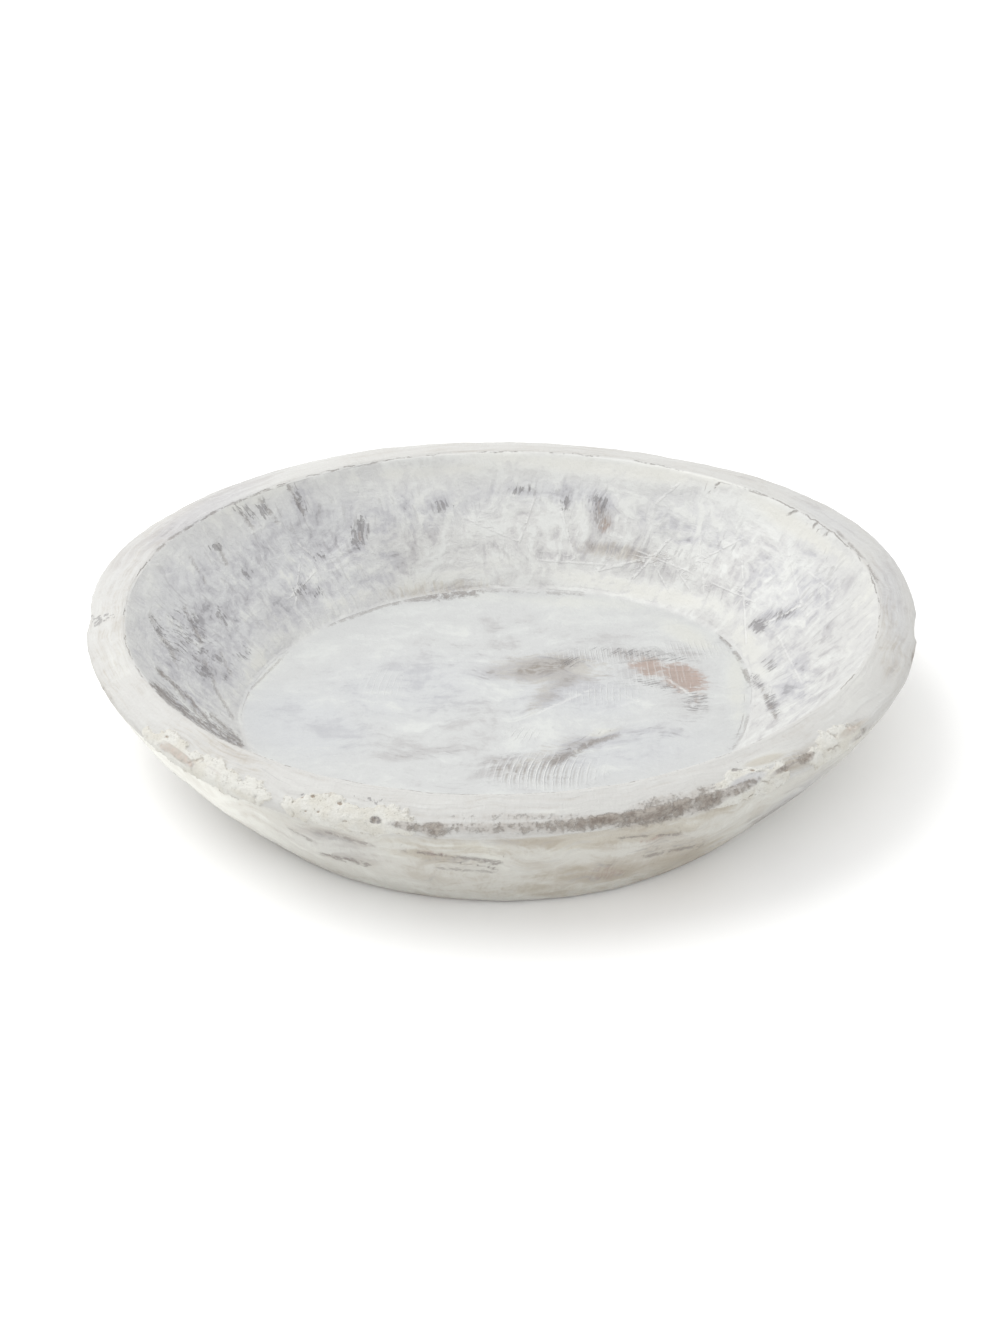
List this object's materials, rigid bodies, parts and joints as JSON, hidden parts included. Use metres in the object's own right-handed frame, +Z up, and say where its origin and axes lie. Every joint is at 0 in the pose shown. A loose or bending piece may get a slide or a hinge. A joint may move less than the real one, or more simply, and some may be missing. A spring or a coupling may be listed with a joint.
{
  "type": "dough bowl",
  "caption": "Long oval hand-carved wooden dough bowl with a wide rim falling outwards, limewashed, its broken rim edge patched with cream wood filler.",
  "frame": {"origin": "middle of the bowl's own box on the flat underside that it stands on", "axes": "+X along the length of the oval, +Y from the front side to the back side, +Z up out of the hollow"},
  "size_m": [0.3994, 0.308, 0.07],
  "materials": {
    "limewashed_wood": "brushed limewash, worn through in places",
    "wood_filler": "dry crumbly wood filler, matte"
  },
  "bodies": {
    "root": {"bowl_body": "limewashed_wood", "rim_filler_left": "wood_filler", "rim_filler_front": "wood_filler", "rim_filler_right": "wood_filler", "rim_filler_corner": "wood_filler"}
  },
  "joints": []
}
